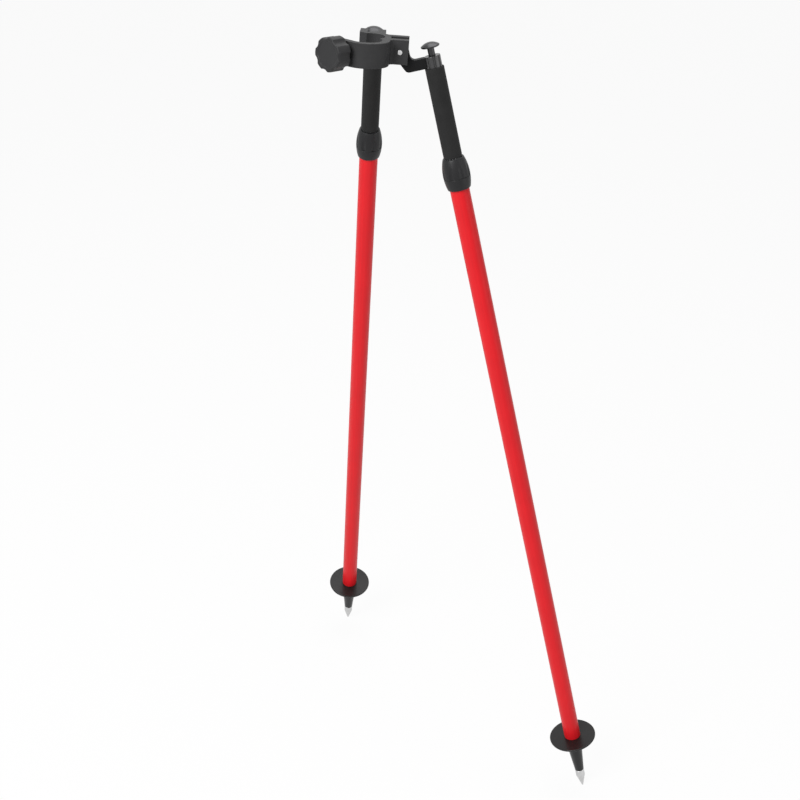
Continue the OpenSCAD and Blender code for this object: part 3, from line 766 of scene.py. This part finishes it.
class BIPOD_OT_clamp_knob(bpy.types.Operator):
    """Clamp knob: moulded, with soft lobes, a rounded rim, a shallow dished face and a hub"""

    bl_idname = "bipod.clamp_knob"
    bl_label = "Clamp knob"

    def execute(self, context):
        sizes = context.scene.bipod_sizes
        screw = screw_frame()
        low, high, bore, r = reach("clamp_knob", screw)
        back = low + sizes.hub_len
        depth = reach("clamp_screw", screw)[1] + FIT
        dish, soft, blend = high - 0.5 * MM, 0.9 * MM, 1.4 * MM
        back_in, back_out, dish_rim, dish_r, dish_in = r * 0.62, r * 0.82, r * 0.80, r * 0.74, r * 0.30
        outline = rounded([
            (0, depth, 0), (bore, depth, 0), (bore, low, sizes.edge), (sizes.hub_r, low, sizes.edge),
            (sizes.hub_r, back, sizes.edge), (back_in, back, 0), (back_out, back, 0),
            (r, back, sizes.knob_round), (r, high, sizes.knob_round),
            (dish_rim, high, soft), (dish_r, dish, soft), (dish_in, dish, 0), (0, dish, 0),
        ], steps=8)
        at = r + sizes.knob_flute_r - sizes.knob_flute
        fade_from, fade = 0.56, 0.30

        def lobes(radius, z, angle):
            rim = soft_least(r, hollow(angle, sizes.knob_lobes, 0.0, at, sizes.knob_flute_r), blend)
            rim += blend / 4
            share = max(0.0, min(1.0, (radius / r - fade_from) / fade))
            share = share * share * (3 - 2 * share)
            return radius * (1 + (min(rim / r, 1.0) - 1) * share)

        mesh = turned("lobed_knob", outline, facets=sizes.knob_lobes * 40, shape=lobes)
        place_piece("lobed_knob", mesh, screw, "knob", "knob_plastic", "clamp_knob")
        return {"FINISHED"}


class BIPOD_OT_pivots(bpy.types.Operator):
    """Leg pivots: bright pins with chamfered, slotted ends, and their friction washers"""

    bl_idname = "bipod.pivots"
    bl_label = "Leg pivots"

    def execute(self, context):
        sizes = context.scene.bipod_sizes
        for side in SIDES:
            place = pin_frame(side)
            low, high, _, r = reach(side + "_pivot_pin", place)
            rim = sizes.edge * 1.6
            mesh = turned("pivot_pin", rounded([(0, low, 0), (r, low, rim), (r, high, rim), (0, high, 0)]))
            wide, deep, edge = sizes.pin_slot / 2, sizes.pin_slot * 0.8, 0.05 * MM
            slot = [(-2 * r, -wide), (2 * r, -wide), (2 * r, wide), (-2 * r, wide)]
            slots = [
                (prism("pin_slot", slot, bottom, bottom + 4 * deep, edge), Matrix.Identity(4))
                for bottom in (low - 3 * deep, high - deep)
            ]
            place_piece(side + "_pin", cut_with(mesh, slots), place, "head", "steel", side + "_pivot_pin")
            dress(side + "_friction_washers", "nylon")
        return {"FINISHED"}


class BIPOD_OT_brackets(bpy.types.Operator):
    """Leg brackets: bent arms with rounded rims, ribbed bosses and their spigots"""

    bl_idname = "bipod.brackets"
    bl_label = "Leg brackets"

    def execute(self, context):
        sizes = context.scene.bipod_sizes
        for side in SIDES:
            node, body = side + "_bracket", side + "_upper_leg"
            place = pin_frame(side)
            level, loop = largest_flat(node, place)
            outline = rounded([(x, y, sizes.edge) for x, y in loop], closed=True)
            arm = prism("bracket_arm", outline, -level, level, sizes.clamp_edge)
            eye = rod("eye_hole", -level - OVERCUT, level + OVERCUT, sizes.pin_hole_r)
            arm = cut_with(arm, [(eye, Matrix.Identity(4))])
            place_piece(side + "_arm", arm, place, body, "bracket_coat", node)

            leg = leg_frame(side)
            low = points_of(node, leg)[:, 2].min()
            grip_top = reach(side + "_grip", leg)[1]
            plug_r = outer_profile(node, leg)[0][0]
            top, r = grip_top + sizes.boss_h, sizes.boss_r
            ceiling, ground = top - sizes.guide_len, low + sizes.floor_t
            outline = rounded([
                (sizes.rod_hole_r, low, 0), (plug_r, low, sizes.edge), (plug_r, grip_top, 0),
                (r, grip_top, sizes.edge * 0.6), (r, top, sizes.edge * 1.4),
                (sizes.stem_hole_r, top, sizes.edge), (sizes.stem_hole_r, ceiling, 0),
                (sizes.pocket_r, ceiling, 0), (sizes.pocket_r, ground, 0), (sizes.rod_hole_r, ground, 0),
            ], closed=True)
            rib, blend = sizes.rib_depth, 0.25 * MM

            def ribs(radius, z, angle):
                return soft_least(radius, hollow(angle, sizes.boss_ribs, 0.0, r, rib), blend)

            mesh = turned("ribbed_boss", outline, closed=True, facets=sizes.boss_ribs * 40, shape=ribs)
            mesh.materials.append(finish("boss_coat"))
            place_piece(side + "_boss", mesh, leg, body, "bracket_coat", node)
            dress(side + "_bracket_rivets", "steel")
        return {"FINISHED"}


class BIPOD_OT_tubes(bpy.types.Operator):
    """Leg tubes: red outer tubes, drawn inner tubes and rubber grips"""

    bl_idname = "bipod.tubes"
    bl_label = "Leg tubes and grips"

    def execute(self, context):
        sizes = context.scene.bipod_sizes
        kinds = (
            ("outer_tube", "red_tube", "lower_leg", "red_paint", sizes.edge * 0.6),
            ("inner_tube", "drawn_tube", "upper_leg", "aluminium", sizes.edge * 0.5),
            ("grip", "grip_sleeve", "upper_leg", "grip_rubber", sizes.soft_edge),
        )
        lip_gap = 0.1 * MM
        lip_r = outer_profile("right_bracket", leg_frame("right"))[0][0] + lip_gap
        for node, name, body, slot, edge in kinds:
            low, high, inside, outside = reach("right_" + node, leg_frame("right"))
            outline = [(inside, low, edge * 0.3), (outside, low, edge)]
            if node == "grip":
                shelf = high - sizes.grip_lip
                outline += [(outside, high, edge), (lip_r, high, 0), (lip_r, shelf, 0), (inside, shelf, 0)]
            else:
                end = high - sizes.grip_lip * 1.2 if node == "inner_tube" else high
                outline += [(outside, end, edge), (inside, end, edge * 0.3)]
            mesh = turned(name, rounded(outline, closed=True), closed=True)
            for side in SIDES:
                place_piece(
                    side + "_" + name, mesh, leg_frame(side), side + "_" + body, slot, side + "_" + node
                )
        return {"FINISHED"}


class BIPOD_OT_releases(bpy.types.Operator):
    """Thumb releases: domed buttons on their stems, push rods and wound return springs"""

    bl_idname = "bipod.releases"
    bl_label = "Thumb releases"

    def execute(self, context):
        sizes = context.scene.bipod_sizes
        leg = leg_frame("right")
        low, high, _, r = reach("right_thumb_button", leg)
        underside = high - sizes.button_h
        dome = sizes.button_dome
        rim = high - dome + math.sqrt(dome * dome - r * r)
        fillet, chamfer_in, chamfer_up, soft = 1.2 * MM, 0.6 * MM, 0.9 * MM, 0.5 * MM
        outline = rounded([
            (0, low, 0), (sizes.stem_r, low, sizes.edge), (sizes.stem_r, underside, fillet),
            (r - chamfer_in, underside, soft), (r, underside + chamfer_up, soft), (r, rim, 0),
        ])
        steps = 14
        for k in range(1, steps + 1):
            a = math.asin(r / dome) * (1 - k / steps)
            outline.append((dome * math.sin(a), high - dome + dome * math.cos(a)))
        button = turned("domed_button", outline)

        low, high, _, _ = reach("right_return_spring", leg)
        turns, wire = sizes.spring_turns, sizes.spring_wire / 2
        per_turn, sides = 36, 12
        bottom, rise = low + wire, high - low - 2 * wire
        verts, faces = [], []
        count, closing = turns * per_turn, 0.5 / turns
        for i in range(count + 1):
            a, t = 2 * math.pi * i / per_turn, i / count
            eased = min(1.0, max(0.0, (t - closing) / (1 - 2 * closing)))
            x, y = math.cos(a), -math.sin(a)
            out = Vector((x, y, 0))
            centre = Vector((sizes.spring_r * x, sizes.spring_r * y, bottom + rise * eased))
            for k in range(sides):
                b = 2 * math.pi * k / sides
                verts.append(centre + out * wire * math.cos(b) + Vector((0, 0, wire * math.sin(b))))
        for i in range(count):
            for k in range(sides):
                n = (k + 1) % sides
                faces.append([i * sides + k, i * sides + n, (i + 1) * sides + n, (i + 1) * sides + k])
        faces.append(list(range(sides)))
        faces.append(list(range(count * sides, (count + 1) * sides)))
        spring = mesh_of("wound_spring", verts, faces)
        travel = joint("right_release_press")["range_m"][1]
        keep = (high - low - travel) / (high - low)
        for side in SIDES:
            leg = leg_frame(side)
            place_piece(
                side + "_button", button, leg, side + "_release", "button_metal", side + "_thumb_button"
            )
            piece = place_piece(
                side + "_spring", spring, leg, side + "_upper_leg", "steel", side + "_return_spring"
            )
            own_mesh(piece)
            dress(side + "_push_rod", "steel")
        return {"FINISHED"}


class BIPOD_OT_locks(bpy.types.Operator):
    """Wedge locks inside the tubes: finishes for wedges, bodies, jaws and guide rings"""

    bl_idname = "bipod.locks"
    bl_label = "Wedge locks"

    def execute(self, context):
        slots = {
            "lock_wedge": "brass", "lock_body": "aluminium", "lock_jaw_a": "brass", "lock_jaw_b": "brass",
            "guide_ring": "nylon",
        }
        for side in SIDES:
            for node, slot in slots.items():
                dress(side + "_" + node, slot)
        return {"FINISHED"}


class BIPOD_OT_collars(bpy.types.Operator):
    """Twist collars: fluted nuts, plain bases and split bushes"""

    bl_idname = "bipod.collars"
    bl_label = "Twist collars"

    def execute(self, context):
        sizes = context.scene.bipod_sizes
        leg = leg_frame("right")
        soft, step, apart = 0.7 * MM, 0.3 * MM, 0.8 * MM
        neck_round, mouth_round, lip_round = 0.3 * MM, 0.2 * MM, 0.6 * MM
        base = outer_profile("right_collar_base", leg)
        low, high, bore, _ = reach("right_collar_base", leg)
        neck_r = base[-1][0]
        barrel = [(r, z) for r, z in base if r > neck_r + step]
        mesh_base = turned("collar_ring", rounded([
            (bore, low, sizes.edge * 0.4), *with_soft_ends(barrel, soft), (neck_r, barrel[-1][1], 0),
            (neck_r, high, neck_round), (bore, high, neck_round),
        ], closed=True), closed=True)

        rows = outer_profile("right_collar_nut", leg)
        low, high, lip_r, widest = reach("right_collar_nut", leg)
        seat = high - sizes.lip_t
        inmost = max(neck_r - 1 * MM, lip_r + 1 * MM)
        skin = thinned([(r, z) for r, z in rows if r > inmost], apart)
        cavity, blend = neck_r + RUN, 0.6 * MM
        at = widest + sizes.nut_flute_r - sizes.nut_flute

        def flutes(radius, z, angle):
            if radius <= cavity + 0.2 * MM:
                return radius
            return soft_least(radius, hollow(angle, sizes.nut_flutes, 0.5, at, sizes.nut_flute_r), blend)

        mesh_nut = turned("fluted_nut", rounded([
            (cavity, low, mouth_round), *with_soft_ends(skin, soft), (lip_r, high, lip_round),
            (lip_r, seat, 0), (cavity, seat, 0),
        ], closed=True), closed=True, facets=sizes.nut_flutes * 36, shape=flutes)
        kinds = (
            ("collar_base", "collar_ring", mesh_base, "_lower_leg"),
            ("collar_nut", "fluted_nut", mesh_nut, "_collar"),
        )
        for side in SIDES:
            for node, name, mesh, body in kinds:
                place_piece(
                    side + "_" + name, mesh, leg_frame(side), side + body, "collar_plastic", side + "_" + node
                )
            dress(side + "_collar_bush", "nylon")
        return {"FINISHED"}


class BIPOD_OT_feet(bpy.types.Operator):
    """Feet: step discs, foot cones and steel points"""

    bl_idname = "bipod.feet"
    bl_label = "Feet"

    def execute(self, context):
        sizes = context.scene.bipod_sizes
        leg = leg_frame("right")
        low, high, hole, rim = reach("right_step_disc", leg)
        rim -= FIT
        under_round, top_round = 1.0 * MM, 1.2 * MM
        disc = turned("step_plate", rounded([
            (hole, low, 0), (rim, low, under_round), (rim, high, top_round), (hole, high, 0),
        ], closed=True), closed=True, facets=160)

        cone_rows, rows = (outer_profile("right_" + node, leg) for node in ("foot_cone", "steel_point"))
        (end_r, bottom), (spigot_r, top) = cone_rows[0], cone_rows[-1]
        shank_r, shank_top = rows[-1]
        end_room, cone_r = 0.4 * MM, max(row[0] for row in cone_rows)
        bore, bore_top = shank_r + FIT, shank_top + end_room
        cone = turned("foot_cone_body", rounded([
            (0, bore_top, 0), (bore, bore_top, 0), (bore, bottom, 0), (end_r, bottom, sizes.edge),
            (cone_r, low, 0), (spigot_r, low, 0), (spigot_r, top, sizes.edge), (0, top, 0),
        ]))

        tip_z, body_r = rows[0][1], max(row[0] for row in rows)
        levels = [z for r0, z in rows if abs(r0 - body_r) < 1e-5]
        tip_round, taper_round, shoulder_round = 0.4 * MM, 1.5 * MM, 4.0 * MM
        point = turned("ground_point", rounded([
            (0, tip_z, 0), (rows[0][0], tip_z, tip_round), (*rows[1], taper_round),
            (body_r, levels[0], shoulder_round), (body_r, levels[-1], sizes.edge), (shank_r, levels[-1], 0),
            (shank_r, shank_top, sizes.edge), (0, shank_top, 0),
        ], steps=6))
        kinds = (
            ("step_disc", "step_plate", disc, "foot_plastic"),
            ("foot_cone", "foot_cone_body", cone, "foot_plastic"),
            ("steel_point", "ground_point", point, "steel"),
        )
        for side in SIDES:
            for node, name, mesh, slot in kinds:
                own = mesh.copy()
                own.transform(leg_frame(side))
                place_piece(
                    side + "_" + name, own, Matrix.Identity(4), side + "_lower_leg", slot, side + "_" + node
                )
        return {"FINISHED"}


def softbox(name, place, aim, width, height, power):
    """A soft area lamp at a place, turned to its aim."""
    lamp = bpy.data.lights.new(name, "AREA")
    lamp.shape, lamp.size, lamp.size_y, lamp.energy = "RECTANGLE", width, height, power
    holder = bpy.data.objects.new(name, lamp)
    bpy.context.scene.collection.objects.link(holder)
    holder.location = place
    holder.rotation_mode = "QUATERNION"
    holder.rotation_quaternion = (aim - place).to_track_quat("-Z", "Y")


class BIPOD_OT_studio(bpy.types.Operator):
    """Studio: camera, pale floor, softboxes and the light all round"""

    bl_idname = "bipod.studio"
    bl_label = "Studio"

    def execute(self, context):
        scene, studio = context.scene, context.scene.bipod_studio
        scene.view_settings.view_transform = "Standard"
        h, p, r = studio.heading, studio.pitch, studio.roll
        forward = Vector((math.sin(h) * math.cos(p), math.cos(h) * math.cos(p), -math.sin(p)))
        level = Vector((math.cos(h), -math.sin(h), 0))
        fall = forward.cross(level)
        across, below = level * math.cos(r) + fall * math.sin(r), fall * math.cos(r) - level * math.sin(r)
        eye = across * studio.aim_right + Vector((0, 0, studio.aim_height)) - forward * studio.distance
        camera = bpy.data.cameras.new("photo_camera")
        camera.lens, camera.sensor_width = studio.lens, 36.0
        holder = bpy.data.objects.new("photo_camera", camera)
        scene.collection.objects.link(holder)
        holder.matrix_world = axes_matrix(across, -below, -forward, eye)
        scene.camera = holder

        self.sky(scene, studio.sky)
        self.floor(scene, studio)
        aim = Vector((0, 0, studio.lamp_aim))
        toward = Vector((-forward.x, -forward.y, 0)).normalized()
        powers = {"key": studio.key, "fill": studio.fill, "top": studio.top}
        for name, (right, near, up, width, height) in LAMPS.items():
            place = aim + level * right + toward * near + Vector((0, 0, up))
            softbox(name + "_box", place, aim, width, height, powers[name])
        return {"FINISHED"}

    def sky(self, scene, strength):
        """A grey light all round that camera, mirrors and glass see as white."""
        world = bpy.data.worlds.new("studio_sky")
        world.use_nodes = True
        scene.world = world
        tree = world.node_tree
        tree.nodes.clear()
        start = Wire(tree)
        seen = start.seen()
        light = seen + strength * (1.0 - seen)
        glow = start.node("ShaderNodeBackground", None, {"Color": (1, 1, 1, 1), "Strength": light})
        start.feed(tree.nodes.new("ShaderNodeOutputWorld"), {"Surface": glow})

    def floor(self, scene, studio):
        """A white floor under the points that still takes their shadow."""
        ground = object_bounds()[0].z
        half = studio.floor_size / 2
        mesh = bpy.data.meshes.new("floor")
        corners = [(-half, -half, ground), (half, -half, ground), (half, half, ground), (-half, half, ground)]
        mesh.from_pydata(corners, [], [(0, 1, 2, 3)])
        plate = bpy.data.objects.new("floor", mesh)
        scene.collection.objects.link(plate)
        material = bpy.data.materials.new("floor_white")
        material.use_nodes = True
        tree = material.node_tree
        tree.nodes.clear()
        start = Wire(tree)
        plain = start.node("ShaderNodeBsdfDiffuse", None, {"Color": rgba([studio.floor_grey] * 3)})
        white = start.node("ShaderNodeEmission", None, {"Color": (1, 1, 1, 1), "Strength": 1.0})
        share = studio.floor_glow * start.seen()
        mixed = start.node("ShaderNodeMixShader", None, {0: share, 1: plain, 2: white})
        start.feed(tree.nodes.new("ShaderNodeOutputMaterial"), {"Surface": mixed})
        mesh.materials.append(material)
        plate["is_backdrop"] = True


PIECE_OPERATORS = (
    BIPOD_OT_clamp_body, BIPOD_OT_clamp_screw, BIPOD_OT_clamp_knob, BIPOD_OT_pivots, BIPOD_OT_brackets,
    BIPOD_OT_tubes, BIPOD_OT_releases, BIPOD_OT_locks, BIPOD_OT_collars, BIPOD_OT_feet, BIPOD_OT_studio,
)


class BIPOD_PT_parts(bpy.types.Panel):
    """Lists the bipod's parts"""

    bl_idname = "BIPOD_PT_parts"
    bl_label = "Prism pole bipod"
    bl_space_type = "VIEW_3D"
    bl_region_type = "UI"
    bl_category = "Bipod"

    def draw(self, context):
        for operator in PIECE_OPERATORS:
            self.layout.operator(operator.bl_idname)


CLASSES = (BipodSizes, BipodColours, BipodStudio, *PIECE_OPERATORS, BIPOD_PT_parts)


def register():
    for item in CLASSES:
        bpy.utils.register_class(item)
    bpy.types.Scene.bipod_sizes = PointerProperty(type=BipodSizes)
    bpy.types.Scene.bipod_colours = PointerProperty(type=BipodColours)
    bpy.types.Scene.bipod_studio = PointerProperty(type=BipodStudio)


def unregister():
    del bpy.types.Scene.bipod_studio
    del bpy.types.Scene.bipod_colours
    del bpy.types.Scene.bipod_sizes
    for item in reversed(CLASSES):
        bpy.utils.unregister_class(item)


def main():
    register()
    bpy.ops.bipod.clamp_body()
    bpy.ops.bipod.clamp_screw()
    bpy.ops.bipod.clamp_knob()
    bpy.ops.bipod.pivots()
    bpy.ops.bipod.brackets()
    bpy.ops.bipod.tubes()
    bpy.ops.bipod.releases()
    bpy.ops.bipod.locks()
    bpy.ops.bipod.collars()
    bpy.ops.bipod.feet()
    bpy.ops.bipod.studio()


if __name__ == "__main__":
    main()
